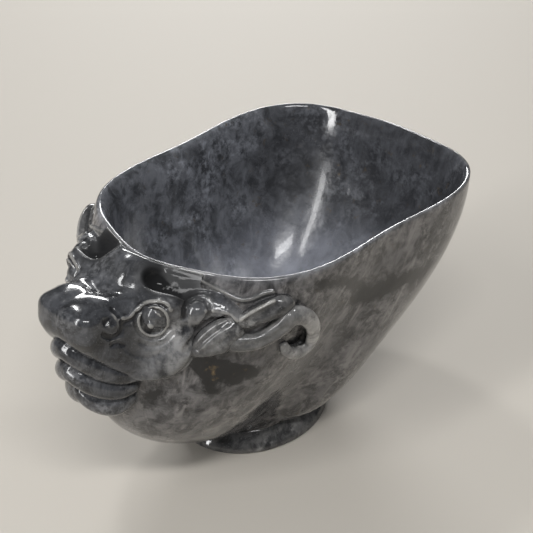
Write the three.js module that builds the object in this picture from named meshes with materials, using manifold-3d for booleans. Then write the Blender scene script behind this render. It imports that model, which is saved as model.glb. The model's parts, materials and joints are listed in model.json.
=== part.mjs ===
// A libation cup carved from one block of dark grey jade. A smooth boat-shaped bowl stands on a low oval
// foot, and a dragon's head grows out of one end, its horns sweeping back round the corners of the bowl.
// The carver works the block form by form, so each form is a solid of its own here: bowl, foot, skull,
// muzzle, jaw folds and the paired cheeks, eyes, brows, nostrils, curls, ears, horns and scrolls.
// Sizes are in millimetres, +Z is up and the head looks along -X.
import * as THREE from 'three';
import { mergeVertices } from 'three/addons/utils/BufferGeometryUtils.js';
import Module from 'manifold-3d';

const wasm = await Module();
wasm.setup();

// Driving dimensions of the bowl. The middle of its rim stands above the middle of its length.
const RIM_HALF_LENGTH = 52.5;
const RIM_HALF_WIDTH = 38.4;
const RIM_HEIGHT = 70;
const WALL_AT_FAR_END = 3;
const WALL_AT_HEAD_END = 5;
const LIP_CROWN = 0.5;
// How far above the rim the forms of the head are still carved back along it
const LIP_CLEARANCE = 6;
const FLOOR_HEIGHT = 13;

// Driving dimensions of the foot, which stands back towards the head
const FOOT_HALF_LENGTH = 24.3;
const FOOT_HALF_WIDTH = 20.4;
const FOOT_HEIGHT = 6;
const FOOT_SHIFT = -12;
const FOOT_BAND = 5;
const FOOT_RECESS = 2.4;
const WAIST_INSET = 3.1;

// Driving dimensions of the head. Its forms are placed from the middle of the rim's head end.
const SKULL = { at: [-5, 0, -10.5], size: [14, 14.8, 12.5], blunt: 2.2 };
const SNOUT_REACH = 28.4;
const MUZZLE = { size: [12, 9.2, 7], level: -7.6, pitch: 8, blunt: 2.5 };
const THROAT = { at: [-9, 0, -27], size: [9, 8, 12] };
const CREST = { at: [-6.5, 0, 0], size: [8.5, 3.8, 4.2] };
const CHEEK = { at: [-8.5, 10, -18.5], size: [9, 6, 7.5], turn: [0, 20, 0] };
const NOSTRIL = { setBack: 11, at: [0, 8.6, -6.2], size: [3.2, 2.4, 3.2] };
const CURL = { at: [-2.4, 17.6, -5.6], size: [4, 3.8, 4] };
const HOLLOW = { at: [-2.5, 11, -0.2], size: [3.4, 7.6, 4], turn: [0, 0, -18] };

// The eye sits on the skull by its bearing round from straight ahead and its lift above level
const EYE = { bearing: 71, lift: 8.5, radius: 3.1, depth: 0.8, lidRadius: 4.4, lidHalfWidth: 0.9 };

// The jaw hangs in three folds under the muzzle, each set back a little further than the one above
const JAW_FOLDS = [
  { setBack: 0.7, drop: 14.4, size: [13, 11.5, 4.5], pitch: -14 },
  { setBack: 3.4, drop: 22.6, size: [12.5, 11.2, 4.8], pitch: -10 },
  { setBack: 6.2, drop: 31.4, size: [11.5, 10.2, 5.6], pitch: -6 },
];

// The brow arches over the eye: bearing, lift, how proud of the skull it stands, and its radius
const BROW = [
  [44, 8, 0.4, 0.9], [56, 18, 0.9, 1.5], [70, 28, 1, 1.6], [84, 27, 0.9, 1.4], [94, 18, 0.6, 0.9],
];
const BROW_FACES = [-0.5, 0.6, 0.6];

// Strands that lie along the bowl's outer face. Each station is a bearing in degrees from the far end, a
// rise up the wall, how far the strand's middle stands proud of the wall there, and its radius.

// The horn sweeps back from the temple round the corner of the bowl, just under its rim
const HORN = [
  [158.6, 0.969, 2.4, 2], [153.3, 0.955, 2.4, 2.7], [148.1, 0.94, 2.4, 3.1], [144, 0.948, 2.4, 2.9],
  [140, 0.941, 2.2, 2.3], [137.4, 0.929, 1.8, 1.5],
];

// The lock under the horn runs back beside it and curls over at its end
const LOCK = [
  [150.5, 0.857, 1.2, 2.2], [146.5, 0.849, 1.4, 2.7], [142.5, 0.853, 1.5, 2.6], [138.2, 0.867, 1.5, 2.3],
  [134.6, 0.884, 1.6, 2.2], [130.9, 0.853, 1.6, 2.3], [127.4, 0.775, 1.6, 2.4], [127.3, 0.712, 1.6, 2.4],
  [131.4, 0.704, 1.6, 2.3], [136, 0.742, 1.5, 2], [137.7, 0.785, 1.2, 1.3],
];

// The ear: a leaf that starts under the temple and lies back against the horn's root
const EAR = [
  [160.2, 0.825, 0.7, 1.6], [157.1, 0.863, 0.8, 3.2], [154.5, 0.881, 0.9, 3.8], [151.6, 0.893, 1, 3.4],
];
const EAR_FLATNESS = 0.5;

// Clearance that keeps neighbouring forms apart
const JOINT = 0.3;

const JADE = { color: 0x3c3f44, roughness: 0.18, metalness: 0 };

// A smooth closed round through values given at equal steps from the far end to the head end
function around(values) {
  const last = values.length - 1;
  const share = (k) => (k === 0 || k === last ? 0.5 : 1);
  const waves = values.map((_, k) => {
    const sum = values.reduce((s, v, j) => s + share(j) * v * Math.cos((Math.PI * k * j) / last), 0);
    return (2 * share(k) * sum) / last;
  });
  return (angle) => waves.reduce((s, wave, k) => s + wave * Math.cos(k * angle), 0);
}

// The rim seen from above: 1 lies on the oval of the two half sizes, and more bulges towards the corners
const rimSquareness = around([1, 1.05, 1.19, 1.12, 1, 1.075, 1.1, 1.01, 1]);
// The belly's curve: how far its lower and upper handles stand out, and how high the upper one is
const lowerHandle = around([20, 6, 11.6, -1, 19]);
const upperHandle = around([5.5, 0.2, -0.8, 7, 37]);
const upperHandleShare = around([0.53, 0.53, 0.61, 0.63, 0.42]);
const LOWER_HANDLE_RISE = 2;

function ovalRadius(halfLength, halfWidth, angle) {
  return (halfLength * halfWidth) / Math.hypot(halfWidth * Math.cos(angle), halfLength * Math.sin(angle));
}

function footRadius(angle, inset) {
  return ovalRadius(FOOT_HALF_LENGTH - inset, FOOT_HALF_WIDTH - inset, angle);
}

function rimRadius(angle) {
  const oval = ovalRadius(RIM_HALF_LENGTH, RIM_HALF_WIDTH, angle);
  const stretched = Math.atan2(Math.sin(angle) / RIM_HALF_WIDTH, Math.cos(angle) / RIM_HALF_LENGTH);
  return oval * rimSquareness(stretched);
}

function bezier(a, b, c, d, t) {
  const s = 1 - t;
  return s * s * s * a + 3 * s * s * t * b + 3 * s * t * t * c + t * t * t * d;
}

function polar(centreX, radius, angle, z) {
  return new THREE.Vector3(centreX + radius * Math.cos(angle), radius * Math.sin(angle), z);
}

// A point of the bowl's outer face: rise runs from 0 at the foot to 1 at the rim
function outerFace(angle, rise, grow = 0) {
  const foot = footRadius(angle, WAIST_INSET);
  const rim = rimRadius(angle);
  const radius = bezier(foot, foot + lowerHandle(angle), rim + upperHandle(angle), rim, rise);
  const low = FOOT_HEIGHT + LOWER_HANDLE_RISE;
  const high = RIM_HEIGHT * upperHandleShare(angle);
  const height = bezier(FOOT_HEIGHT, low, high, RIM_HEIGHT, rise);
  const centre = bezier(FOOT_SHIFT, FOOT_SHIFT, 0, 0, rise);
  return polar(centre, radius + grow, angle, height - grow * (1 - rise));
}

function wall(angle) {
  const headwards = (1 - Math.cos(angle)) / 2;
  return WALL_AT_FAR_END + (WALL_AT_HEAD_END - WALL_AT_FAR_END) * headwards;
}

// The inner face is its own curve: how far the floor's handle reaches out, how much of the outer bulge it
// follows, and how high its upper handle is
const INNER_FLOOR_HANDLE = 0.62;
const INNER_BULGE_SHARE = 0.3;
const INNER_UPPER_HANDLE = 0.5;

// A point of the bowl's inner face, from the middle of its floor to the rim
function innerFace(angle, rise) {
  const rim = rimRadius(angle) - wall(angle);
  const bulge = INNER_BULGE_SHARE * upperHandle(angle);
  const radius = bezier(0, INNER_FLOOR_HANDLE * rim, rim + bulge, rim, rise);
  const high = FLOOR_HEIGHT + (RIM_HEIGHT - FLOOR_HEIGHT) * INNER_UPPER_HANDLE;
  const height = bezier(FLOOR_HEIGHT, FLOOR_HEIGHT, high, RIM_HEIGHT, rise);
  const centre = bezier(FOOT_SHIFT / 2, FOOT_SHIFT / 2, 0, 0, rise);
  return polar(centre, radius, angle, height);
}

// Turns a closed geometry into a solid with its faces pointing out
function solid(geometry) {
  geometry.deleteAttribute('normal');
  geometry.deleteAttribute('uv');
  const merged = mergeVertices(geometry, 1e-4);
  const points = merged.attributes.position;
  const corners = [];
  const a = new THREE.Vector3();
  const b = new THREE.Vector3();
  const c = new THREE.Vector3();
  let volume = 0;
  for (let i = 0; i < merged.index.count; i += 3) {
    const [p, q, r] = [0, 1, 2].map((k) => merged.index.getX(i + k));
    if (p !== q && q !== r && r !== p) {
      corners.push(p, q, r);
      a.fromBufferAttribute(points, p);
      b.fromBufferAttribute(points, q);
      c.fromBufferAttribute(points, r);
      volume += a.dot(b.cross(c));
    }
  }
  if (volume < 0) corners.reverse();
  const mesh = new wasm.Mesh({
    numProp: 3,
    vertProperties: new Float32Array(points.array),
    triVerts: new Uint32Array(corners),
  });
  return new wasm.Manifold(mesh);
}

// A closed skin of rings. place(angle, share) gives each point: share runs from 0 at the first ring to 1
// at the last, and those two rings close to a point.
function skin(sides, rings, place) {
  const profile = [];
  for (let ring = 0; ring <= rings; ring++) profile.push(new THREE.Vector2(1, ring));
  const geometry = new THREE.LatheGeometry(profile, sides);
  for (let side = 0; side <= sides; side++) {
    for (let ring = 0; ring <= rings; ring++) {
      const point = place(((side % sides) / sides) * 2 * Math.PI, ring / rings);
      geometry.attributes.position.setXYZ(side * (rings + 1) + ring, point.x, point.y, point.z);
    }
  }
  return solid(geometry);
}

// The head's own place: the middle of the rim at the head end
function fromHead([x, y, z], side = 1) {
  return new THREE.Vector3(x - RIM_HALF_LENGTH, y * side, z + RIM_HEIGHT);
}

// An egg-shaped form. turn is in degrees about X, Y and Z, and blunt over 2 makes it squarer.
function egg({ at, size, turn = [0, 0, 0], blunt = 2 }, side, grow, sides = 14, rings = 10) {
  const geometry = new THREE.SphereGeometry(1, sides, rings);
  const points = geometry.attributes.position;
  const point = new THREE.Vector3();
  for (let i = 0; i < points.count; i++) {
    point.fromBufferAttribute(points, i);
    const sum = point.toArray().reduce((total, v) => total + Math.abs(v) ** blunt, 0);
    point.divideScalar(sum ** (1 / blunt));
    points.setXYZ(i, point.x, point.y, point.z);
  }
  geometry.scale(size[0] + grow, size[1] + grow, size[2] + grow);
  const [x, y, z] = turn.map((degrees) => THREE.MathUtils.degToRad(degrees));
  geometry.applyQuaternion(new THREE.Quaternion().setFromEuler(new THREE.Euler(x, y, z, 'ZYX')));
  geometry.scale(1, side, 1);
  const centre = fromHead(at, side);
  geometry.translate(centre.x, centre.y, centre.z);
  return solid(geometry);
}

// A rounded strand through points, with a radius at each. flat squeezes it along outward.
const STRAND_SIDES = 8;
const STRAND_END_SHARE = 0.18;

function strand(points, radii, grow, { outward = new THREE.Vector3(0, 0, 1), flat = 1, steps = 12 } = {}) {
  const curve = new THREE.CatmullRomCurve3(points);
  const radiusAt = (u) => {
    const place = u * (radii.length - 1);
    const low = Math.min(Math.floor(place), radii.length - 2);
    return radii[low] + (radii[low + 1] - radii[low]) * (place - low);
  };
  return skin(STRAND_SIDES, steps, (angle, share) => {
    const u = THREE.MathUtils.clamp((share - STRAND_END_SHARE) / (1 - 2 * STRAND_END_SHARE), 0, 1);
    const along = curve.getTangent(u);
    const across = new THREE.Vector3().crossVectors(outward, along).normalize();
    const proud = new THREE.Vector3().crossVectors(along, across);
    const radius = radiusAt(u) + grow;
    const nearEnd = Math.min(share, 1 - share) / STRAND_END_SHARE;
    const turned = (Math.min(nearEnd, 1) * Math.PI) / 2;
    const overhang = (share < 0.5 ? -1 : 1) * Math.cos(turned) * radius;
    const ring = Math.sin(turned) * radius;
    return curve.getPoint(u)
      .addScaledVector(along, overhang)
      .addScaledVector(across, Math.cos(angle) * ring)
      .addScaledVector(proud, Math.sin(angle) * ring * flat);
  });
}

// A point that stands proud of the bowl's outer face, at an angle in degrees from the far end
const SMALL_STEP = 0.01;

function onWall(degrees, rise, proud, side) {
  const angle = THREE.MathUtils.degToRad(degrees);
  const here = outerFace(angle, rise);
  const round = outerFace(angle + SMALL_STEP, rise).sub(here);
  const up = outerFace(angle, rise + SMALL_STEP).sub(here);
  const out = round.cross(up).normalize();
  const point = here.addScaledVector(out, proud);
  point.y *= side;
  return point;
}

function wallNormal(degrees, rise, side) {
  return onWall(degrees, rise, 1, side).sub(onWall(degrees, rise, 0, side)).normalize();
}

// The bowl: outer face, rounded lip and inner face in one closed skin
const BOWL_SIDES = 48;
const OUTER_RINGS = 12;
const LIP_RINGS = 3;
const INNER_RINGS = 9;

function bowlRing(ring, angle) {
  if (ring === 0) return new THREE.Vector3(FOOT_SHIFT, 0, FOOT_HEIGHT);
  if (ring <= OUTER_RINGS) return outerFace(angle, (ring - 1) / (OUTER_RINGS - 1));
  const beyondOuter = ring - OUTER_RINGS;
  if (beyondOuter <= LIP_RINGS) {
    const turned = (beyondOuter / (LIP_RINGS + 1)) * Math.PI;
    const half = wall(angle) / 2;
    const radius = rimRadius(angle) - half + half * Math.cos(turned);
    return polar(0, radius, angle, RIM_HEIGHT + half * LIP_CROWN * Math.sin(turned));
  }
  return innerFace(angle, 1 - (beyondOuter - LIP_RINGS - 1) / INNER_RINGS);
}

// The scooped hollow on each side of the crest, between the back of the head and the lip
function withoutHollows(body, grow) {
  return [-1, 1].reduce((rest, side) => rest.subtract(egg(HOLLOW, side, -grow, 16, 10)), body);
}

function bowl(grow) {
  if (grow === 0) {
    const lastRing = OUTER_RINGS + LIP_RINGS + INNER_RINGS + 1;
    const body = skin(BOWL_SIDES, lastRing, (angle, share) => bowlRing(Math.round(share * lastRing), angle));
    return withoutHollows(body, 0);
  }
  // Only the outer face matters to what seats on it, so the grown bowl is closed across its mouth
  const aboveLip = RIM_HEIGHT + LIP_CLEARANCE;
  return skin(BOWL_SIDES, OUTER_RINGS + 2, (angle, share) => {
    const ring = Math.round(share * (OUTER_RINGS + 2));
    if (ring === 0) return new THREE.Vector3(FOOT_SHIFT, 0, FOOT_HEIGHT - grow);
    if (ring <= OUTER_RINGS) return outerFace(angle, (ring - 1) / (OUTER_RINGS - 1), grow);
    const radius = ring === OUTER_RINGS + 1 ? rimRadius(angle) + grow : 0;
    return polar(0, radius, angle, aboveLip);
  });
}

// The foot: an oval ring, drawn in at its waist, under a recessed base. The shares are of its height.
const FOOT_SIDES = 36;
const FOOT_EDGE_SHARE = 0.2;
const FOOT_WAIST_SHARE = 0.8;

function footRing(grow) {
  const top = FOOT_HEIGHT - JOINT;
  const band = [
    { middle: true, height: FOOT_RECESS },
    { inset: FOOT_BAND, height: FOOT_RECESS },
    { inset: FOOT_BAND, height: 0 },
    { inset: 0, height: 0 },
    { inset: 0, height: FOOT_HEIGHT * FOOT_EDGE_SHARE },
    { inset: WAIST_INSET, height: FOOT_HEIGHT * FOOT_WAIST_SHARE },
    { inset: WAIST_INSET, height: top },
    { middle: true, height: top },
  ];
  return skin(FOOT_SIDES, band.length - 1, (angle, share) => {
    const { middle, inset, height } = band[Math.round(share * (band.length - 1))];
    return polar(FOOT_SHIFT, middle ? 0 : footRadius(angle, inset) + grow, angle, height);
  });
}

function muzzle(grow) {
  const { size, level, pitch, blunt } = MUZZLE;
  return egg({ at: [size[0] - SNOUT_REACH, 0, level], size, turn: [0, pitch, 0], blunt }, 1, grow, 20, 12);
}

function jawFold(level, grow) {
  const { setBack, drop, size, pitch } = JAW_FOLDS[level];
  return egg({ at: [setBack + size[0] - SNOUT_REACH, 0, -drop], size, turn: [0, pitch, 0] }, 1, grow);
}

function nostril(grow, side) {
  const [x, y, z] = NOSTRIL.at;
  return egg({ at: [x + NOSTRIL.setBack - SNOUT_REACH, y, z], size: NOSTRIL.size }, side, grow, 12, 8);
}

// A place on the skull: bearing in degrees from straight ahead round to the side, lift in degrees above
// level, and how proud of the skull it stands
function onSkull(bearing, lift, proud) {
  const b = THREE.MathUtils.degToRad(bearing);
  const l = THREE.MathUtils.degToRad(lift);
  const out = [-Math.cos(b) * Math.cos(l), Math.sin(b) * Math.cos(l), Math.sin(l)];
  return SKULL.at.map((centre, k) => centre + out[k] * (SKULL.size[k] + proud));
}

function eyeball(grow, side) {
  const size = [EYE.radius, EYE.radius, EYE.radius];
  return egg({ at: onSkull(EYE.bearing, EYE.lift, -EYE.depth), size }, side, grow, 12, 8);
}

function eyelid(grow, side) {
  const geometry = new THREE.TorusGeometry(EYE.lidRadius, EYE.lidHalfWidth + grow, 6, 18);
  const centre = fromHead(onSkull(EYE.bearing, EYE.lift, 0), 1);
  const ahead = fromHead(onSkull(EYE.bearing, EYE.lift, 5), 1).sub(centre).normalize();
  geometry.applyQuaternion(new THREE.Quaternion().setFromUnitVectors(new THREE.Vector3(0, 0, 1), ahead));
  geometry.translate(centre.x, centre.y, centre.z);
  geometry.scale(1, side, 1);
  return solid(geometry);
}

function brow(grow, side) {
  const path = BROW.map(([bearing, lift, proud]) => fromHead(onSkull(bearing, lift, proud), side));
  const outward = fromHead(BROW_FACES, side).sub(fromHead([0, 0, 0], side));
  return strand(path, BROW.map((place) => place[3]), grow, { outward });
}

function wallStrand(stations, side, grow, options = {}) {
  const path = stations.map(([degrees, rise, proud]) => onWall(degrees, rise, proud, side));
  const middle = stations[Math.floor(stations.length / 2)];
  const outward = wallNormal(middle[0], middle[1], side);
  return strand(path, stations.map((station) => station[3]), grow, { outward, ...options });
}

// Each form: its name, whether it comes as a left and a right, and its solid at a growth and a side.
// A form is carved back from every form above it in this list.
const forms = [
  { name: 'bowl', make: bowl },
  { name: 'foot_ring', make: footRing },
  { name: 'skull', make: (grow) => withoutHollows(egg(SKULL, 1, grow, 24, 14), grow) },
  { name: 'muzzle', make: muzzle },
  { name: 'throat', make: (grow) => egg(THROAT, 1, grow) },
  { name: 'lower_lip', make: (grow) => jawFold(0, grow) },
  { name: 'beard_fold', make: (grow) => jawFold(1, grow) },
  { name: 'chin', make: (grow) => jawFold(2, grow) },
  { name: 'crest', make: (grow) => egg(CREST, 1, grow) },
  { name: 'cheek', pair: true, make: (grow, side) => egg(CHEEK, side, grow) },
  { name: 'eyeball', pair: true, make: eyeball },
  { name: 'eyelid', pair: true, make: eyelid },
  { name: 'brow', pair: true, make: brow },
  { name: 'nostril', pair: true, make: nostril },
  { name: 'temple_curl', pair: true, make: (grow, side) => egg(CURL, side, grow, 12, 8) },
  { name: 'ear', pair: true, make: (grow, side) => wallStrand(EAR, side, grow, { flat: EAR_FLATNESS }) },
  { name: 'horn', pair: true, make: (grow, side) => wallStrand(HORN, side, grow) },
  { name: 'horn_scroll', pair: true, make: (grow, side) => wallStrand(LOCK, side, grow, { steps: 24 }) },
];

// Carving back can leave crumbs beside a form: only the form itself is kept
function largest(body) {
  return body.decompose().reduce((best, one) => (one.volume() > best.volume() ? one : best));
}

function build() {
  const object = new THREE.Group();
  const done = [];
  for (const form of forms) {
    for (const side of form.pair ? [-1, 1] : [1]) {
      let body = form.make(0, side);
      for (const earlier of done) body = body.subtract(earlier);
      body = largest(body);
      done.push(form.make(JOINT, side));
      const mesh = body.getMesh();
      const geometry = new THREE.BufferGeometry();
      geometry.setAttribute('position', new THREE.BufferAttribute(mesh.vertProperties, 3));
      geometry.setIndex(new THREE.BufferAttribute(mesh.triVerts, 1));
      const piece = new THREE.Mesh(geometry, new THREE.MeshStandardMaterial(JADE));
      piece.name = form.pair ? `${form.name}_${side < 0 ? 'left' : 'right'}` : form.name;
      object.add(piece);
    }
  }
  // The object's own origin is the middle of its footprint, on the surface it stands on
  const box = new THREE.Box3().setFromObject(object);
  object.position.x = -(box.min.x + box.max.x) / 2;
  object.position.z = -box.min.z;
  return object;
}

export default build();
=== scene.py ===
# %% [markdown]
# A dragon-head cup in dark jade.
# The real cup is one stone. Its carver saws a block, hollows a boat-shaped bowl, leaves a lump standing at
# one end and cuts that lump into a dragon's head, and only then polishes everything with ever finer grit.
# This lesson works in the same order: first the camera, then the smooth bowl and foot, then the head, then
# the stone's own colour and shine, and last the light that it is seen in.
# The frame holds every carved form at its true size, so it is loaded first and nothing in it is moved.

# %% Load the frame
import json
import math

import bmesh
import bpy
import numpy as np
from mathutils import Euler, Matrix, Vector
from mathutils.bvhtree import BVHTree

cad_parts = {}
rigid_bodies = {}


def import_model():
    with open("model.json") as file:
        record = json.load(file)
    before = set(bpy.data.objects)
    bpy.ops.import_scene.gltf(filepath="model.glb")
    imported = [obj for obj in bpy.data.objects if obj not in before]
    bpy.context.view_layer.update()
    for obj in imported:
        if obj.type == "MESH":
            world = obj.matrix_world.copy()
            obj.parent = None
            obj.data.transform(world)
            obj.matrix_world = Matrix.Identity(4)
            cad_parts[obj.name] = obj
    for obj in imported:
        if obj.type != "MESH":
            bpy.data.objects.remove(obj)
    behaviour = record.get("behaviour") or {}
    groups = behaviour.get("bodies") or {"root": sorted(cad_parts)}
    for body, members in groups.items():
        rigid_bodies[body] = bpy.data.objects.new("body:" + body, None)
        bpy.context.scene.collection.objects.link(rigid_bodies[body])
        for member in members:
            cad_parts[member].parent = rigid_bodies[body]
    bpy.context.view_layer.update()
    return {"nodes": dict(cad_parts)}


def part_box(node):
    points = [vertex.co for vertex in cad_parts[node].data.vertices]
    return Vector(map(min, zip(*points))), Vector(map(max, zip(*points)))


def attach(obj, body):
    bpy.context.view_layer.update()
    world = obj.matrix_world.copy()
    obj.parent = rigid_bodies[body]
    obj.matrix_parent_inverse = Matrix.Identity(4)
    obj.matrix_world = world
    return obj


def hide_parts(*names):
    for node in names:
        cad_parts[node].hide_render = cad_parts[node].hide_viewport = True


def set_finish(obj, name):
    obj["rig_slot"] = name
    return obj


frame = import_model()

print("frame nodes:", len(frame["nodes"]))

# %% [markdown]
# All carving sizes are written in millimetres, as a carver would note them, and turned into metres once.
# The sizes are measured from the middle of the rim: that spot stands above the origin of the carver's own
# drawing. The frame's origin is the middle of the footprint box instead, so the drawing has to be slid along
# the cup. The foot tells how far, because its middle is known in both.

# %% Sizes of the bowl and foot
MM = 0.001
RIM_HALF_LENGTH = 52.5
RIM_HALF_WIDTH = 38.4
RIM_HEIGHT = 70
WALL_AT_FAR_END = 3
WALL_AT_HEAD_END = 5
LIP_CROWN = 0.5
FLOOR_HEIGHT = 13
FOOT_HALF_LENGTH = 24.3
FOOT_HALF_WIDTH = 20.4
FOOT_HEIGHT = 6
FOOT_SHIFT = -12
FOOT_BAND = 5
FOOT_RECESS = 2.4
WAIST_INSET = 3.1

foot_low, foot_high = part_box("foot_ring")
SLIDE = (foot_low[0] + foot_high[0]) / 2 / MM - FOOT_SHIFT
HEAD_AT = np.array([-RIM_HALF_LENGTH, 0, RIM_HEIGHT])
print("slide along the cup: %.2f mm" % SLIDE)


def to_frame(points):
    """Points of the drawing, in millimetres, as places in the frame, in metres."""
    return (np.asarray(points) + [SLIDE, 0, 0]) * MM


def to_drawing(points):
    return np.asarray(points) / MM - [SLIDE, 0, 0]


# %% [markdown]
# The camera stands where the photographer stood: a little above and ahead of the dragon's left cheek. A
# picture's pixel is a direction, so a small helper turns one into a sight line. It is used further down to
# lay the finest carved lines exactly where they are seen.

# %% Camera
PHOTO_WIDTH = 533
FOCAL_PIXELS = 1200
SENSOR = 36
SIGHT_TURN = math.radians(48.3)
SIGHT_DIP = math.radians(31.5)
CAMERA_AT = np.array([-221.9, -192.5, 223.2])

forward = np.array([
    math.sin(SIGHT_TURN) * math.cos(SIGHT_DIP),
    math.cos(SIGHT_TURN) * math.cos(SIGHT_DIP),
    -math.sin(SIGHT_DIP),
])
rightward = np.array([math.cos(SIGHT_TURN), -math.sin(SIGHT_TURN), 0])
upward = np.cross(rightward, forward)

lens = bpy.data.cameras.new("camera")
lens.sensor_width = SENSOR
lens.lens = SENSOR * FOCAL_PIXELS / PHOTO_WIDTH
lens.clip_start = 0.01
camera = bpy.data.objects.new("camera", lens)
camera.location = to_frame(CAMERA_AT)
camera.rotation_euler = Vector(forward).to_track_quat("-Z", "Y").to_euler()
bpy.context.scene.collection.objects.link(camera)
bpy.context.scene.camera = camera


def sight(pixel):
    """The direction in which the camera sees a pixel of the photograph."""
    across = pixel[0] - PHOTO_WIDTH / 2
    down = pixel[1] - PHOTO_WIDTH / 2
    return Vector(forward * FOCAL_PIXELS + rightward * across - upward * down).normalized()


def seen_at(tree, pixel):
    """Where a pixel's sight line meets a surface, in millimetres of the drawing, or None."""
    hit = tree.ray_cast(camera.location, sight(pixel))[0]
    return None if hit is None else to_drawing(hit)


print("lens: %.1f mm" % lens.lens)

# %% [markdown]
# The bowl's outline is not a plain oval: its corners are fuller at the far end. A round of values, given at
# equal steps from the far end to the head end, is joined by a smooth wave, and the profile at each bearing is
# one curve with two handles. Writing the surface as a formula keeps the polish perfectly even, which matters
# here, since a glossy dark stone shows the slightest dent.

# %% The bowl's formula
def around(values):
    """A smooth closed round through values at equal steps from the far end to the head end."""
    last = len(values) - 1
    step = np.arange(last + 1)
    share = np.where((step == 0) | (step == last), 0.5, 1.0)
    waves = [2 * share[k] / last * np.sum(share * values * np.cos(np.pi * k * step / last)) for k in step]
    return lambda angle: sum(wave * np.cos(k * angle) for k, wave in enumerate(waves))


rim_squareness = around([1, 1.05, 1.19, 1.12, 1, 1.075, 1.1, 1.01, 1])
lower_handle = around([20, 6, 11.6, -1, 19])
upper_handle = around([5.5, 0.2, -0.8, 7, 37])
upper_handle_share = around([0.53, 0.53, 0.61, 0.63, 0.42])


def oval_radius(half_length, half_width, angle):
    return half_length * half_width / np.hypot(half_width * np.cos(angle), half_length * np.sin(angle))


def foot_radius(angle, inset):
    return oval_radius(FOOT_HALF_LENGTH - inset, FOOT_HALF_WIDTH - inset, angle)


def rim_radius(angle):
    stretched = np.arctan2(np.sin(angle) / RIM_HALF_WIDTH, np.cos(angle) / RIM_HALF_LENGTH)
    return oval_radius(RIM_HALF_LENGTH, RIM_HALF_WIDTH, angle) * rim_squareness(stretched)


def wall_thickness(angle):
    return WALL_AT_FAR_END + (WALL_AT_HEAD_END - WALL_AT_FAR_END) * (1 - np.cos(angle)) / 2


print("rim reaches %.1f mm ahead and %.1f mm to the side" % (rim_radius(0.0), rim_radius(np.pi / 2)))

# %% [markdown]
# The profile at each bearing climbs from the foot to the rim along one curve. The inner face has its own, so
# that the wall is thick and heavy at the bottom, as in real cups, and thin where it is drunk from. Copying
# the outer face inwards would be simpler, but it would carry every bulge of the outside into the bowl.

# %% Outer and inner face
LOWER_HANDLE_RISE = 2
INNER_FLOOR_HANDLE = 0.62
INNER_BULGE_SHARE = 0.3
INNER_UPPER_HANDLE = 0.5
FAR_END_LEAN = 3.4


def bezier(a, b, c, d, t):
    s = 1 - t
    return s**3 * a + 3 * s * s * t * b + 3 * s * t * t * c + t**3 * d


def polar(centre, radius, angle, height):
    return np.stack([centre + radius * np.cos(angle), radius * np.sin(angle), height + 0 * angle], axis=-1)


def outer_radius(angle, rise):
    foot = foot_radius(angle, WAIST_INSET)
    rim = rim_radius(angle)
    return bezier(foot, foot + lower_handle(angle), rim + upper_handle(angle), rim, rise)


def outer_height(angle, rise):
    high = RIM_HEIGHT * upper_handle_share(angle)
    return bezier(FOOT_HEIGHT, FOOT_HEIGHT + LOWER_HANDLE_RISE, high, RIM_HEIGHT, rise)


def outer_centre(rise):
    return bezier(FOOT_SHIFT, FOOT_SHIFT, 0, 0, rise)


def outer_face(angle, rise):
    """A point of the outer face: rise runs from 0 at the foot to 1 at the rim."""
    return polar(outer_centre(rise), outer_radius(angle, rise), angle, outer_height(angle, rise))


def inner_face(angle, rise):
    """A point of the inner face, from the middle of the floor to the rim."""
    rim = rim_radius(angle) - wall_thickness(angle)
    bulge = INNER_BULGE_SHARE * upper_handle(angle) - FAR_END_LEAN * np.clip(np.cos(angle), 0, 1) ** 2
    radius = bezier(0, INNER_FLOOR_HANDLE * rim, rim + bulge, rim, rise)
    high = FLOOR_HEIGHT + (RIM_HEIGHT - FLOOR_HEIGHT) * INNER_UPPER_HANDLE
    height = bezier(FLOOR_HEIGHT, FLOOR_HEIGHT, high, RIM_HEIGHT, rise)
    return polar(bezier(FOOT_SHIFT / 2, FOOT_SHIFT / 2, 0, 0, rise), radius, angle, height)


print("rim: %.0f x %.0f mm" % (2 * rim_radius(0.0), 2 * outer_face(np.pi / 2, 1.0)[1]))

# %% [markdown]
# Relief is easiest to carve when every form knows how far away it is. Each form below is a distance in
# millimetres, less than nothing inside the stone: an egg, a strand laid along a path, and the bowl's own
# wall. Two forms flow into each other where their distances are blended, as a carver's round burr leaves a
# small hollow between them, and a scooped hollow is an egg taken away in the same soft manner.

# %% Distances
FAR = 50.0
NEARBY = 4.0
TINY = 1e-6


def join(a, b, blend):
    """The union of two forms, with a soft hollow about as wide as blend between them."""
    return np.minimum(a, b) - np.maximum(blend - np.abs(a - b), 0) ** 2 / (4 * blend)


def cut(a, b, blend):
    """Form a without form b, with a soft edge."""
    return -join(-a, b, blend)


def egg_turn(turn):
    return np.array(Euler([math.radians(degrees) for degrees in turn], "XYZ").to_matrix())


def egg(q, at, size, turn=(0, 0, 0), blunt=2):
    """Distance to an egg. blunt over 2 makes it squarer. Far points only get a rough distance."""
    away = q - at
    result = np.sqrt(np.sum(away**2, axis=1)) - max(size)
    near = result < NEARBY
    local = np.abs(away[near] @ egg_turn(turn) / size)
    if blunt == 2:
        weight = np.maximum(np.sqrt(np.sum(local**2, axis=1)), TINY)
        slope = local / weight[:, None] / size
    else:
        weight = np.maximum(np.sum(local**blunt, axis=1) ** (1 / blunt), TINY)
        slope = (local / weight[:, None]) ** (blunt - 1) / size
    result[near] = (weight - 1) / np.sqrt(np.sum(slope**2, axis=1))
    return result


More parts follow.
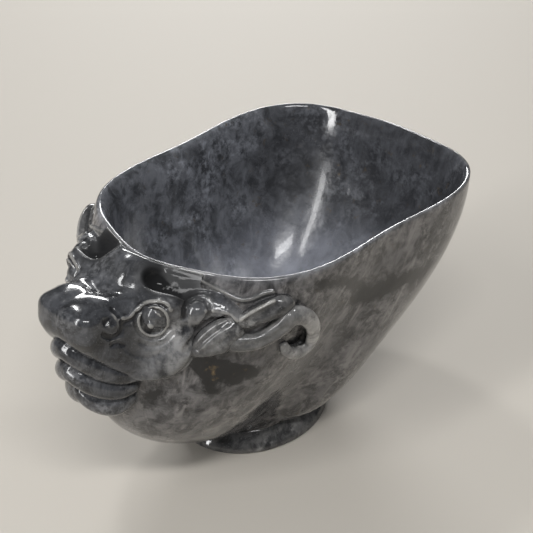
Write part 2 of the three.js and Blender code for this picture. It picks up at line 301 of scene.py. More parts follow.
def strand(q, path, radii, outward=None, flatness=1):
    """Distance to a rounded strand along a path. flatness squeezes it along outward."""
    path = np.asarray(path)
    radii = np.asarray(radii, float)
    reach = radii.max() + NEARBY
    near = np.all((q > path.min(0) - reach) & (q < path.max(0) + reach), axis=1)
    result = np.full(len(q), FAR)
    points = q[near]
    best = np.full(len(points), FAR)
    for a, b, start, end in zip(path, path[1:], radii, radii[1:]):
        along = b - a
        share = np.clip((points - a) @ along / max(along @ along, TINY), 0, 1)
        away = points - a - share[:, None] * along
        if outward is not None:
            lift = away @ outward
            away = away + np.outer(lift * (1 / flatness - 1), outward)
        best = np.minimum(best, np.linalg.norm(away, axis=1) - start - (end - start) * share)
    result[near] = best
    return result


def smooth_path(points, steps=6):
    """Points on a smooth curve through the given ones."""
    points = np.asarray(points, float)
    ends = np.vstack([2 * points[0] - points[1], points, 2 * points[-1] - points[-2]])
    curve = []
    for a, b, c, d in zip(ends, ends[1:], ends[2:], ends[3:]):
        for t in np.arange(steps) / steps:
            curve.append(0.5 * (2 * b + (c - a) * t + (2 * a - 5 * b + 4 * c - d) * t**2
                                + (3 * b - 3 * c + d - a) * t**3))
    return np.array(curve + [points[-1]])


# %% [markdown]
# The wall is the form that all others grow out of, and the only one whose distance isn't simple. Its formula
# gives a point for a bearing and a rise, and not the other way round, so the rise that belongs to a height is
# searched for in a few steps. The distance is asked for thousands of times. It is therefore worked out once,
# on a coarse grid around the head, and read off between the grid's points.

# %% Distance from the wall
RISE_STEP = 0.01
RISE_SEARCHES = 6
LOWEST_RISE = 0.05
LEAST_CLIMB_RATE = 15
LEAST_CLIMB = 0.1


def from_wall(p):
    """Distance of points of the drawing from the bowl's outer face, carried straight up above the rim."""
    rise = np.clip(p[:, 2] / RIM_HEIGHT, LOWEST_RISE, 1)
    for _ in range(RISE_SEARCHES):
        angle = np.arctan2(p[:, 1], p[:, 0] - outer_centre(rise))
        climb = outer_height(angle, rise + RISE_STEP) - outer_height(angle, rise - RISE_STEP)
        missing = p[:, 2] - outer_height(angle, rise)
        rise = np.clip(rise + missing / np.maximum(climb / (2 * RISE_STEP), LEAST_CLIMB_RATE), 0, 1)
    angle = np.arctan2(p[:, 1], p[:, 0] - outer_centre(rise))
    radius = outer_radius(angle, rise)
    climb = outer_height(angle, rise) - outer_height(angle, rise - 2 * RISE_STEP)
    lean = (radius - outer_radius(angle, rise - 2 * RISE_STEP)) / np.maximum(climb, LEAST_CLIMB)
    away = np.hypot(p[:, 0] - outer_centre(rise), p[:, 1]) - radius
    return away / np.sqrt(1 + np.where(p[:, 2] < RIM_HEIGHT, lean, 0) ** 2)


WALL_GRID = 1.0
GRID_LOW = np.array([-86.0, -46.0, 22.0])
GRID_HIGH = np.array([-12.0, 0.0, 80.0])
grid_axes = [np.arange(low, high + WALL_GRID, WALL_GRID) for low, high in zip(GRID_LOW, GRID_HIGH)]
wall_grid = from_wall(np.stack(np.meshgrid(*grid_axes, indexing="ij"), axis=-1).reshape(-1, 3))
wall_grid = wall_grid.reshape([len(axis) for axis in grid_axes])
print("wall distances kept at", wall_grid.size, "points")


def to_left(points):
    """Folds the dragon's right onto its left, because both sides are carved alike."""
    return points * [1, 0, 1] - np.abs(points) * [0, 1, 0]


def off_wall(p):
    """Distance from the wall near the head, read from the grid."""
    place = (to_left(p) - GRID_LOW) / WALL_GRID
    # Just short of the grid's last points, so that every cell has a next one
    place = np.clip(place, 0, np.array(wall_grid.shape) - 1.001)
    cell = place.astype(int)
    x, y, z = (place - cell).T
    i, j, k = cell.T
    low = (wall_grid[i, j, k] * (1 - x) + wall_grid[i + 1, j, k] * x) * (1 - y)
    low += (wall_grid[i, j + 1, k] * (1 - x) + wall_grid[i + 1, j + 1, k] * x) * y
    high = (wall_grid[i, j, k + 1] * (1 - x) + wall_grid[i + 1, j, k + 1] * x) * (1 - y)
    high += (wall_grid[i, j + 1, k + 1] * (1 - x) + wall_grid[i + 1, j + 1, k + 1] * x) * y
    return low * (1 - z) + high * z


# %% [markdown]
# Every piece ends with the same two steps, so each is a helper. The first keeps two values at each point for
# the stone's finish, which paints shade into grooves and hollows with them: how sharply the surface turns
# there, and how deep the point lies between its neighbours.
# They could be painted by hand, but measured values follow the carving by themselves. The second step makes
# the mesh an object and hides the forms of the frame that it stands for.

# %% Finishing a piece
BEND_ROUNDS = 4
RELIEF_ROUNDS = 40
RELIEF_DRAW = 0.6
RELIEF_DEPTH = 0.7


def keep_value(mesh, name, values):
    """Keeps a value at each point of a mesh, where a material can read it by its name."""
    mesh.attributes.new(name, "FLOAT", "POINT").data.foreach_set("value", values)


def mark_bends(mesh):
    """Keeps two values at each point for the stone's finish.

    bend is how sharply the surface turns: 1 on a thin edge, -1 in a tight groove. relief is how far the point
    stands above its wider surroundings: 1 on a ridge, -1 deep in a hollow.
    """
    count = len(mesh.vertices)
    spots = np.zeros(count * 3)
    normals = np.zeros(count * 3)
    pairs = np.zeros(len(mesh.edges) * 2, int)
    mesh.vertices.foreach_get("co", spots)
    mesh.vertices.foreach_get("normal", normals)
    mesh.edges.foreach_get("vertices", pairs)
    spots = spots.reshape(-1, 3) / MM
    normals = normals.reshape(-1, 3)
    a, b = pairs.reshape(-1, 2).T
    along = spots[b] - spots[a]
    length = np.maximum(np.sum(along**2, axis=1), TINY)
    bend_a = -2 * np.sum(normals[a] * along, axis=1) / length
    bend_b = 2 * np.sum(normals[b] * along, axis=1) / length
    degree = np.maximum(np.bincount(a, minlength=count) + np.bincount(b, minlength=count), 1)
    bend = (np.bincount(a, bend_a, count) + np.bincount(b, bend_b, count)) / degree
    for _ in range(BEND_ROUNDS):
        bend = 0.5 * bend + 0.5 * (np.bincount(a, bend[b], count) + np.bincount(b, bend[a], count)) / degree
    calm = spots.copy()
    for _ in range(RELIEF_ROUNDS):
        drawn = [np.bincount(a, calm[b, k], count) + np.bincount(b, calm[a, k], count) for k in range(3)]
        calm = (1 - RELIEF_DRAW) * calm + RELIEF_DRAW * np.stack(drawn, axis=1) / degree[:, None]
    relief = np.sum((spots - calm) * normals, axis=1) / RELIEF_DEPTH
    for name, values in (("bend", bend), ("relief", relief)):
        keep_value(mesh, name, np.clip(values, -1, 1))


def finish_piece(name, shape, stone_slot, nodes, body="root"):
    """Makes the bmesh an object, smooth all over, that stands for its nodes and rides with the body."""
    for face in shape.faces:
        face.smooth = True
    mesh = bpy.data.meshes.new(name)
    shape.to_mesh(mesh)
    shape.free()
    mark_bends(mesh)
    piece = bpy.data.objects.new(name, mesh)
    bpy.context.scene.collection.objects.link(piece)
    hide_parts(*nodes)
    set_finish(piece, stone_slot)
    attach(piece, body)
    print("%-20s %6d faces" % (name, len(mesh.polygons)))
    return piece


# %% [markdown]
# The bowl is nowhere round, so no lathe could turn it, and its carver works round it ring by ring. Here a
# chain of points is spun round once, which gives the rings, and each point is then set down on the formula.
# The lip rises a little over the outer edge and rolls down into the bowl, as an edge does that lips touch.

# %% The bowl
BOWL_SIDES = 336
OUTER_RINGS = 100
LIP_RINGS = 16
INNER_RINGS = 70
LIP_ROLL = 0.88
LIP_STEP = 0.04
LIP_RISE = 1.4
LIP_OUTER_REACH = 0.35
LIP_INNER_REACH = 2.4
SAME_SPOT = 1e-5


def spun_skin(rings, sides, place):
    """A closed skin. place(angle, ring) gives each point; the first and the last ring close to a point."""
    shape = bmesh.new()
    chain = [shape.verts.new((min(ring, rings - ring, 1), 0, ring)) for ring in range(rings + 1)]
    links = [shape.edges.new(pair) for pair in zip(chain, chain[1:])]
    bmesh.ops.spin(shape, geom=chain + links, cent=(0, 0, 0), axis=(0, 0, 1), angle=2 * math.pi, steps=sides,
                   use_merge=True)
    bmesh.ops.remove_doubles(shape, verts=shape.verts, dist=SAME_SPOT)
    spots = np.array([vert.co for vert in shape.verts])
    ring = np.round(spots[:, 2])
    placed = to_frame(place(np.arctan2(spots[:, 1], spots[:, 0]), ring))
    for vert, spot in zip(shape.verts, placed):
        vert.co = spot
    bmesh.ops.recalc_face_normals(shape, faces=shape.faces)
    return shape, ring


def lip(angle, share):
    """The lip's section: up over the outer edge, then rolling down into the bowl."""
    crown = LIP_CROWN * wall_thickness(angle) / 2
    start = outer_face(angle, 1.0)
    end = inner_face(angle, LIP_ROLL)
    below = inner_face(angle, LIP_ROLL - LIP_STEP)
    across = (end - start) * [1, 1, 0]
    rise = np.stack([0 * angle, 0 * angle, LIP_RISE * crown], axis=-1)
    outer_handle = start + LIP_OUTER_REACH * across + rise
    inner_handle = end + (end - below) * LIP_INNER_REACH
    return bezier(start, outer_handle, inner_handle, end, share[:, None])


def bowl_point(angle, ring):
    rise = np.clip((ring - 1) / (OUTER_RINGS - 1), 0, 1)
    outside = outer_face(angle, rise)
    rolled = lip(angle, np.clip((ring - OUTER_RINGS) / (LIP_RINGS + 1), 0, 1))
    sunk = np.clip((ring - OUTER_RINGS - LIP_RINGS - 1) / INNER_RINGS, 0, 1)
    inside = inner_face(angle, LIP_ROLL * (1 - sunk))
    spots = np.where((ring <= OUTER_RINGS)[:, None], outside, rolled)
    spots = np.where((ring > OUTER_RINGS + LIP_RINGS)[:, None], inside, spots)
    return np.where((ring == 0)[:, None], [FOOT_SHIFT, 0, FOOT_HEIGHT], spots)


shape, bowl_ring = spun_skin(OUTER_RINGS + LIP_RINGS + INNER_RINGS + 1, BOWL_SIDES, bowl_point)
bowl = finish_piece("bowl", shape, "jade_bowl", ["bowl"])
wall_tree = BVHTree.FromObject(bowl, bpy.context.evaluated_depsgraph_get())
LEAST_FACING = 0.3


def over_wall(pixel, proud):
    """The point of a pixel's sight line that stands proud of the bowl's wall, in the drawing."""
    spot, out = wall_tree.ray_cast(camera.location, sight(pixel))[:2]
    way = np.array(sight(pixel))
    return to_drawing(spot) - way * proud / max(-way @ np.array(out), LEAST_FACING)


# %% [markdown]
# The foot is a low oval ring that spreads a little towards the table. Its base is recessed, so that the cup
# stands on a narrow band, and its edges are softened, because stone edges chip.

# %% The foot
FOOT_SIDES = 200
# The foot's section, from the middle of its base round to its top: how far each spot lies inside the foot's
# outline, or None on the middle line, and its height
foot_profile = [
    (None, FOOT_RECESS), (FOOT_BAND + 1, FOOT_RECESS), (FOOT_BAND, FOOT_RECESS - 0.4), (FOOT_BAND, 0.5),
    (FOOT_BAND - 0.15, 0.15), (FOOT_BAND - 0.5, 0), (0.9, 0), (0.45, 0.08), (0.12, 0.35), (0, 0.8),
    (0.02, 1.3), (0.3, 2.0), (0.95, 2.9), (1.8, 3.8), (2.5, 4.6), (2.95, 5.3), (3.1, 5.7),
    (None, FOOT_HEIGHT - 0.3),
]


def foot_point(angle, ring):
    ring = ring.astype(int)
    inset = np.array([0 if inset is None else inset for inset, _ in foot_profile])[ring]
    middle = np.array([inset is None for inset, _ in foot_profile])[ring]
    height = np.array([height for _, height in foot_profile], float)[ring]
    return polar(FOOT_SHIFT, np.where(middle, 0, foot_radius(angle, inset)), angle, height)


shape, _ = spun_skin(len(foot_profile) - 1, FOOT_SIDES, foot_point)
finish_piece("foot_ring", shape, "jade_foot", ["foot_ring"])

# %% [markdown]
# A carver roughs out the masses first. Here the head starts as a heap of plain balls and eggs, a little
# larger than the finished forms, melted into one skin on an even grid. Joining them with booleans would leave
# long thin faces along every seam, which can't be polished smooth.

# %% Roughing out
SEED_GROWTH = 0.9


def melted(shape, grid):
    """The shape's parts melted into one skin on an even grid."""
    mesh = bpy.data.meshes.new("heap")
    shape.to_mesh(mesh)
    shape.free()
    lump = bpy.data.objects.new("heap", mesh)
    bpy.context.scene.collection.objects.link(lump)
    remesh = lump.modifiers.new("melt", "REMESH")
    remesh.mode = "VOXEL"
    remesh.voxel_size = grid
    skin = bpy.data.meshes.new_from_object(lump.evaluated_get(bpy.context.evaluated_depsgraph_get()))
    result = bmesh.new()
    result.from_mesh(skin)
    bpy.data.objects.remove(lump)
    bpy.data.meshes.remove(mesh)
    bpy.data.meshes.remove(skin)
    return result


def heap(seeds, grid):
    """One skin round balls and eggs. Each seed is its middle, half sizes and turn, in millimetres."""
    shape = bmesh.new()
    for at, size, turn in seeds:
        ball = bmesh.ops.create_icosphere(shape, subdivisions=4, radius=1)["verts"]
        spots = np.array([vert.co for vert in ball]) * (np.asarray(size) + SEED_GROWTH)
        for vert, spot in zip(ball, spots @ egg_turn(turn).T + at):
            vert.co = spot
    return melted(shape, grid)


# %% [markdown]
# Then the carver closes in on the final surface from outside. Every point of the rough skin walks along the
# slope of the blended distance until it lies on the carved surface. Smoothing in between keeps the points
# evenly apart.

# %% Closing in
CLOSE_ENOUGH = 0.004
NUDGE = 0.02
LEAST_STEEP = 0.25


def close_in(points, field, steps, stride=0.7):
    """Walks points of the drawing onto the surface where the field is nothing."""
    points = points.copy()
    moving = np.arange(len(points))
    for _ in range(steps):
        here = points[moving]
        value = field(here)
        far = np.abs(value) > CLOSE_ENOUGH
        if not far.any():
            break
        moving, here, value = moving[far], here[far], value[far]
        slope = np.stack([(field(here + np.eye(3)[k] * NUDGE) - value) / NUDGE for k in range(3)], axis=1)
        steep = np.maximum(np.sum(slope**2, axis=1), LEAST_STEEP)
        points[moving] = here - slope * np.clip(value / steep, -stride, stride)[:, None]
    return points


def relax(shape, times):
    for _ in range(times):
        bmesh.ops.smooth_vert(shape, verts=shape.verts, factor=0.5, use_axis_x=True, use_axis_y=True,
                              use_axis_z=True)


def spots_of(shape):
    return np.array([vert.co for vert in shape.verts])


def spots_of_mesh(mesh):
    return np.array([vert.co for vert in mesh.vertices])


def put(shape, spots):
    for vert, spot in zip(shape.verts, spots):
        vert.co = spot


# %% [markdown]
# One function takes a form through the whole work. Where masses meet at a sharp angle the first skin folds
# into pleats, which a polished stone would show as bright lines. So it is melted a second time, on a finer
# grid, and closed in once more. Fine lines come last, because they need the finished skin to be laid on.

# %% Carving a form
GRID = 0.4
ROUGH_GRID = 0.55


def engraved(field, shape, lines):
    """The field with lines cut into it or raised on it, where the camera sees them on the left side."""
    seen = shape.copy()
    spots = spots_of(seen)
    on_right = spots[:, 1].mean() > 1
    put(seen, to_frame(spots * [1, -1, 1] if on_right else spots))
    tree = BVHTree.FromBMesh(seen)
    seen.free()
    strokes = []
    for pixels, width, depth in lines:
        spots = [seen_at(tree, pixel) for pixel in smooth_path(pixels, steps=4)]
        spots = [to_left(spot - HEAD_AT) for spot in spots if spot is not None]
        if len(spots) > 1:
            strokes.append((np.array(spots), width, depth))
    print("lines laid on the surface:", len(strokes), "of", len(lines))

    def deeper(p):
        q = to_left(p - HEAD_AT)
        value = field(p)
        for spots, width, depth in strokes:
            away = strand(q, spots, np.zeros(len(spots)))
            value = value + depth * np.exp(-(away / width) ** 2)
        return value
    return deeper


def carve(name, seeds, field, nodes, grid=GRID, lines=(), steps=12):
    """A carved form: seeds melted and closed in on the field, melted again, then engraved with lines."""
    shape = heap(seeds, ROUGH_GRID)
    put(shape, close_in(spots_of(shape), field, steps))
    relax(shape, times=3)
    put(shape, close_in(spots_of(shape), field, steps=3))
    shape = melted(shape, grid)
    for _ in range(2):
        put(shape, close_in(spots_of(shape), field, steps=4))
        relax(shape, times=2)
    put(shape, close_in(spots_of(shape), field, steps=4))
    if lines:
        put(shape, close_in(spots_of(shape), engraved(field, shape, lines), steps=5))
    put(shape, to_frame(spots_of(shape)))
    bmesh.ops.recalc_face_normals(shape, faces=shape.faces)
    return finish_piece(name, shape, "jade_carving", nodes)


# %% [markdown]
# The face is not a separate ball. It is a low plate that follows the bulging wall, from which only the snout
# reaches out. So the cheeks and brows are cut to stay within a few millimetres of the wall, the snout is a
# squarish egg that sticks out of them, and a jowl on each side carries the line of the upper lip back to the
# corner of the mouth. Behind each temple a deep hollow is scooped down to the bowl. A bed half a millimetre
# thick lines it, so that the head's skin runs on to the rim without a gap.

# %% Forms of the face
SNOUT = dict(at=[-21.7, 0, -6.3], size=[6.1, 9.8, 4.8], turn=[0, 3, 0], blunt=3.4)
BRIDGE = dict(at=[-11.8, 0, -9.6], size=[9, 10, 5.9], turn=[0, -8, 0], blunt=2.6)
JOWL = dict(at=[-16.8, -5.2, -12.6], size=[13.2, 4.8, 6], turn=[0, 42, -32], blunt=2.6)
SIDE = dict(at=[-14.5, -6.4, -9.6], size=[9.5, 4.6, 6.8], turn=[0, 14, -24], blunt=2.4)
SKULL = dict(at=[-4.5, 0, -10.6], size=[13, 14, 10], turn=[0, -20, 0], blunt=2.5)
SHOULDER = dict(at=[-5, -12.6, -4.4], size=[5, 6.6, 4.2], turn=[0, -10, -25], blunt=2.4)
LIP_PATH = smooth_path([[-22.9, 0, -7.8], [-22.6, -3.2, -8.8], [-22.5, -5.2, -10.4], [-20.4, -6.6, -12.7],
                        [-18, -7.8, -15.3], [-15.3, -9, -17.9], [-12.4, -10, -20.3]], steps=3)
LIP_RADII = np.linspace(3.2, 3.9, len(LIP_PATH))
THROAT = dict(at=[-11, 0, -27], size=[9, 8, 11])
CREST = dict(at=[-2.6, 0, -2.4], size=[7.6, 7, 5.4])
CHEEK = dict(at=[-8, -11, -14], size=[11.4, 11.4, 11.4])
CHEEK_PROUD = 4.1
NOSTRIL = dict(at=[-18.4, -9.3, -6.2], size=[2.9, 1.9, 2.7])
CURL_PIXEL = (197, 312)
CURL_PROUD = 1.9
CURL = dict(at=over_wall(CURL_PIXEL, CURL_PROUD) - HEAD_AT, size=[3.1, 3.1, 3.1])
TEMPLE_PIXELS = [(184, 312), (200, 306), (214, 306), (227, 311), (237, 318)]
TEMPLE_PROUD = 0.3
TEMPLE_PATH = smooth_path([over_wall(pixel, TEMPLE_PROUD) - HEAD_AT for pixel in TEMPLE_PIXELS], steps=3)
TEMPLE_RADII = np.linspace(3.8, 1.7, len(TEMPLE_PATH))
HOLLOW = dict(at=[-2.7, -13.2, 0.1], size=[4.2, 6.6, 5.4], turn=[0, 0, 20])
HOLLOW_BED = dict(at=[-0.8, -15, -2.2], size=[9, 10, 8], turn=[0, 0, 28])
BED_THICKNESS = 0.5
BED_PIXELS = [(x, y) for x in range(146, 198, 6) for y in (266, 272, 278, 284)]
BED_PROUD = 0.2
BED_SEEDS = [over_wall(pixel, BED_PROUD) - HEAD_AT for pixel in BED_PIXELS]
BED_SEED_RADIUS = 1.2
print("points along the lip and the temple:", len(LIP_PATH), "and", len(TEMPLE_PATH))

# %% [markdown]
# The forms flow into each other with hollows as wide as the burr that would cut them: wide between the big
# masses, narrow round the nostril and the curl. The face also has to grow out of the wall. So its foot is
# blended into the wall, and its root ends a little way inside it, where nobody sees it.

# %% The face as one distance
ROOT_DEPTH = 2.4
ROOT_GAP = 0.12
RIM_CLEARANCE = 0.2
RIM_CLIMB = 0.9
CLIMB_LENGTH = 1.35


def rooted(value, p, blend=1.0):
    """Flows a form's foot into the wall, ends its root there, and keeps it below a slope off the rim."""
    wall = off_wall(p)
    value = join(value, wall + ROOT_GAP, blend)
    value = np.maximum(value, -wall - ROOT_DEPTH)
    above_slope = p[:, 2] - RIM_HEIGHT - RIM_CLEARANCE - RIM_CLIMB * wall
    return cut(value, -above_slope / CLIMB_LENGTH, blend=0.6)


def face_field(p):
    """Distance to the face: the head's masses blended together, with the hollows taken out."""
    q = to_left(p - HEAD_AT)
    wall = off_wall(p)
    plate = cut(egg(q, **CHEEK), CHEEK_PROUD - wall, blend=1.8)
    value = join(egg(q, **SKULL), plate, blend=3)
    value = join(value, strand(q, TEMPLE_PATH, TEMPLE_RADII), blend=1.6)
    for form, blend in ((SHOULDER, 3.5), (THROAT, 2), (CREST, 5)):
        value = join(value, egg(q, **form), blend)
    muzzle = join(egg(q, **JOWL), egg(q, **SIDE), blend=3.5)
    muzzle = join(egg(q, **BRIDGE), muzzle, blend=3)
    muzzle = join(egg(q, **SNOUT), muzzle, blend=2)
    muzzle = join(muzzle, strand(q, LIP_PATH, LIP_RADII), blend=4)
    value = join(value, muzzle, blend=2)
    for form in (NOSTRIL, CURL):
        value = join(value, egg(q, **form), blend=1.0)
    value = cut(value, egg(q, **HOLLOW), blend=1.6)
    bed = -join(BED_THICKNESS - wall, -egg(q, **HOLLOW_BED), blend=1.5)
    return rooted(join(value, bed, blend=1.2), p)


# %% [markdown]
# The rough heap is made from the same forms, so that it already lies close to the surface. Both sides of the
# head are alike, and a form that stands off the middle gets a seed on each.

# %% Seeds for the rough heap
def seeds_of(*forms):
    """Seeds in the drawing for forms of the head, on both sides where a form stands off the middle."""
    seeds = []
    for form in forms:
        at = np.array(form["at"], float)
        turn = np.array(form.get("turn", [0, 0, 0]), float)
        seeds.append((at + HEAD_AT, form["size"], turn))
        if at[1] != 0:
            seeds.append((at * [1, -1, 1] + HEAD_AT, form["size"], turn * [-1, 1, -1]))
    return seeds


def seeds_along(path, radii, origin=HEAD_AT, sides=(1, -1)):
    """Seeds along a path, on both sides of the head or on one: 1 for the dragon's left, -1 its right."""
    return [(spot * [1, side, 1] + origin, [radius] * 3, [0, 0, 0])
            for side in sides for spot, radius in zip(path, radii)]


# %% [markdown]
# The brow, the rings round the eye, the wing of the nose and the wrinkles of the cheek are drawn with a fine
# burr once the forms are smooth. They could be bump in the finish, but then they would vanish from the mesh
# and from its outline. So each is a stroke through a few pixels of the photograph: sight lines carry the
# pixels onto the finished skin, and the distance is deepened along the stroke, or raised where a carver
# leaves a ridge standing.

# %% Lines of the face
# Each stroke has its pixels, its half width and its depth, which is less than nothing for a raised line
FACE_GRID = 0.28
FACE_LINES = {
    "ridge of the brow": (
        [(120, 319), (129, 317), (137, 310), (145, 303), (157, 301), (166, 303), (171, 310)], 0.45, -0.65),
    "under the brow": ([(124, 323), (133, 319), (140, 312), (148, 306), (158, 305), (166, 308)], 0.45, 0.6),
    "under the eye": ([(136, 313), (135, 323), (140, 333), (150, 338.5), (161, 337), (169, 329)], 0.45, 0.6),
    "eyelid": (
        [(153, 306), (143, 310), (138.5, 320), (142, 331.5), (153, 336), (164, 331.5), (168, 320), (163, 310),
         (153, 306)], 0.5, -0.45),
    "round the eyeball": (
        [(153, 309.5), (145, 313), (142, 321), (145.5, 329.5), (153.5, 332.5), (161.5, 329), (164.5, 320),
         (161, 312.5), (153, 309.5)], 0.45, 0.9),
    "wing of the nose": ([(112, 309), (119, 316), (122, 325), (119, 334), (111, 338), (104, 335)], 0.6, 0.8),
    "nostril": ([(106, 322), (110, 320), (113, 323)], 0.7, 0.9),
    "lower wrinkle of the cheek": ([(126, 349), (138, 356), (152, 357), (165, 350), (175, 341)], 0.7, 0.22),
    "upper wrinkle of the cheek": ([(140, 342), (152, 346), (164, 343), (172, 335)], 0.6, 0.35),
    "over the lip": ([(112, 345), (118, 343), (124, 345)], 0.6, 0.6),
    "round the temple curl": (
        [(184, 317), (186, 305), (196, 298), (207, 302), (209, 314), (201, 325)], 0.6, 0.9),
    "between cheek and ear": ([(187, 351), (196, 338), (205, 328), (216, 322), (228, 319)], 1.0, 1.5),
    "ridge of the temple": ([(206, 311), (219, 311), (228, 314), (237, 320)], 0.5, -0.5),
}
FACE_NODES = [
    "skull", "muzzle", "throat", "crest", "cheek_left", "cheek_right", "nostril_left", "nostril_right",
    "brow_left", "brow_right", "eyelid_left", "eyelid_right", "temple_curl_left", "temple_curl_right",
]
face_seeds = (
    seeds_along(TEMPLE_PATH, TEMPLE_RADII) + seeds_along(LIP_PATH, LIP_RADII)
    + seeds_of(SKULL, SNOUT, BRIDGE, JOWL, SIDE, THROAT, CREST, CHEEK, NOSTRIL, CURL, SHOULDER)
    + seeds_along(BED_SEEDS, [BED_SEED_RADIUS] * len(BED_SEEDS))
)
face = carve("face", face_seeds, face_field, FACE_NODES, lines=list(FACE_LINES.values()), grid=FACE_GRID)

# %% [markdown]
# The polisher's leather doesn't reach the bottom of the two hollows, so they stay dull, and they get
# painted shade, almost black. A wide hollow is flat inside, and its relief alone can't tell that. So each
# point of the face also keeps how deep it lies in a hollow.

# %% Shade of the hollows
HOLLOW_FADE = 4.5
face_spots = to_left(to_drawing(spots_of_mesh(face.data)) - HEAD_AT)
in_hollow = np.clip(1 - egg(face_spots, **HOLLOW) / HOLLOW_FADE, 0, 1)
# Deep in a hollow the head's stone gets painted shade, almost black, and turns dull
keep_value(face.data, "dark_place", in_hollow)
print("points of the face in a hollow:", int(np.sum(in_hollow > 0)), "of", len(in_hollow))

# %% [markdown]
# Under the snout hang three heavy folds: the lower lip, a fold of beard and the chin. Each is a thick strand
# bent round the jaw like half a ring, whose underside is hollowed so that its lower edge comes out thin. Thin
# jade lets light through, which is why those edges look paler in the stone's finish further down.

# %% Jaw folds
FOLD_UNDERCUT = np.array([2.0, 1.4, -3.1])
UNDERCUT_SIZE = 0.8
FOLD_EDGE = 0.35
JAW_FOLDS = {
    "lower_lip": ([[-25.1, 0, -14.4], [-24.5, -2.5, -15.4], [-22.6, -5, -17.6], [-20.1, -7, -20.1],
                   [-17, -8.8, -22.1], [-13.6, -10.4, -23]], [3.0, 3.1, 3.2, 3.1, 2.8, 2.2]),
    "beard_fold": ([[-24.2, 0, -21.4], [-23.5, -2.5, -22.5], [-22, -5, -24.1], [-19.8, -6.9, -25.6],
                    [-17.2, -8.3, -26.7], [-14.4, -9.5, -27]], [3.0, 3.2, 3.2, 3.1, 2.8, 2.0]),
    "chin": ([[-20.9, 0, -29.2], [-20.3, -2.5, -30.4], [-18.9, -5, -31.2], [-17.2, -6.8, -31.4],
              [-14.8, -8, -30.8]], [3.4, 3.6, 3.7, 3.5, 2.6]),
}


def fold_field(path, radii):
    """A fold of the jaw: a thick strand whose underside is hollowed, so that its lower edge is thin."""
    def field(p):
        q = to_left(p - HEAD_AT)
        undercut = strand(q, path + FOLD_UNDERCUT, radii * UNDERCUT_SIZE)
        value = cut(strand(q, path, radii), undercut, FOLD_EDGE)
        return rooted(value, p)
    return field


for name, (stations, widths) in JAW_FOLDS.items():
    path = smooth_path(stations, steps=4)
    radii = smooth_path([[width] for width in widths], steps=4)[:, 0]
    carve(name, seeds_along(path, radii), fold_field(path, radii), [name])

# %% [markdown]
# The eye is a low dome with a small bump for the pupil. It is a ball sunk most of the way into the face, so
# that only its cap shows, and it is set square to the skin where the eye's pixel meets it.

# %% Eyes
EYE_PIXEL = (153, 321)
EYE_RADIUS = 3.9
EYE_SUNK = 2.5
EYE_GRID = 0.25
PUPIL_RADIUS = 1.0
PUPIL_PROUD = EYE_RADIUS - 0.2
face_tree = BVHTree.FromObject(face, bpy.context.evaluated_depsgraph_get())
eye_spot = seen_at(face_tree, EYE_PIXEL)
eye_out = np.array(face_tree.ray_cast(camera.location, sight(EYE_PIXEL))[1])
eye_at = to_left(eye_spot - eye_out * EYE_SUNK)
pupil_at = eye_at + eye_out * PUPIL_PROUD
for side, hand in ((-1, "left"), (1, "right")):
    at = eye_at * [1, -side, 1]
    pupil = pupil_at * [1, -side, 1]
    carve("eyeball_" + hand, [(at, [EYE_RADIUS] * 3, [0, 0, 0])],
          lambda p: join(egg(p, at, [EYE_RADIUS] * 3), egg(p, pupil, [PUPIL_RADIUS] * 3), blend=0.5),
          ["eyeball_" + hand], steps=4, grid=EYE_GRID)

# %% [markdown]
# Behind the eye the horn, the lock under it and the ear sweep back along the bowl in heavy relief. Curves
# with a bevel would make round sausages that float over the wall. Strands of distance sink into it instead:
# they are laid through points that stand a chosen height off the wall, squeezed flat against it, and blended
# into it at their foot. The lock curls over at its end and leaves a dark hollow inside the curl.

# %% Horns, locks and ears
# Each form runs through pixels of the photograph: how far its middle line stands off the wall, and its radius
HORN = [(239, 321, 0.6, 1.5), (247, 320, 1.0, 2.1), (258, 315, 1.2, 2.5), (270, 310, 1.2, 2.7),
        (280, 306, 1.0, 2.7), (286, 304, 0.8, 2.2)]
CREST_PROUD = -0.2
CREST_RADIUS = 0.6
HORN_CREST = [(x, y, CREST_PROUD, CREST_RADIUS) for x, y in (
    (194, 277), (206, 283), (222, 291), (233, 297), (242, 300), (251, 299), (263, 294), (273, 292))]
LOCK = [(234, 342, 0.5, 2.6), (246, 343, 0.8, 2.5), (258, 341, 1.0, 2.4), (270, 335, 1.1, 2.5),
        (281, 327, 1.2, 2.8), (292, 317, 1.6, 2.9), (303, 316, 1.9, 2.5), (311, 322, 2.0, 2.2),
        (313.5, 332, 2.0, 2.0), (310.5, 342, 1.9, 1.9), (303, 350, 1.8, 1.9), (294, 353, 1.5, 1.8),
        (287, 351, 1.1, 1.6), (284, 346, 0.7, 1.2)]
EAR = [(190, 351, 0.2, 1.4), (201, 347, 0.4, 2.7), (212, 341, 0.6, 3.8), (222, 336, 0.6, 4.2),
       (230, 331, 0.4, 3.6)]
LEAF_GRID = 0.33
LEAF_LINES = {
    "ear": [
        ([(196, 349), (206, 339), (216, 331), (228, 323)], 0.6, 0.8),
        ([(203, 352), (216, 347), (228, 337)], 0.6, 0.5),
    ],
    "horn": [
        ([(242, 319), (251, 313), (262, 307), (274, 301)], 0.5, -0.6),
        ([(248, 322), (262, 315), (276, 307)], 1.2, 0.8),
    ],
    "horn_scroll": [
        ([(246, 345), (260, 343), (273, 337), (286, 328)], 0.7, 0.5),
        ([(294, 312), (305, 313), (313, 322), (315, 333), (311, 343), (303, 351)], 0.8, 0.35),
    ],
}


def laid(stations):
    """A smooth path over the wall and its radii, in the drawing."""
    path = smooth_path([over_wall((x, y), proud) for x, y, proud, _ in stations])
    return path, smooth_path([[radius] for *_, radius in stations])[:, 0]


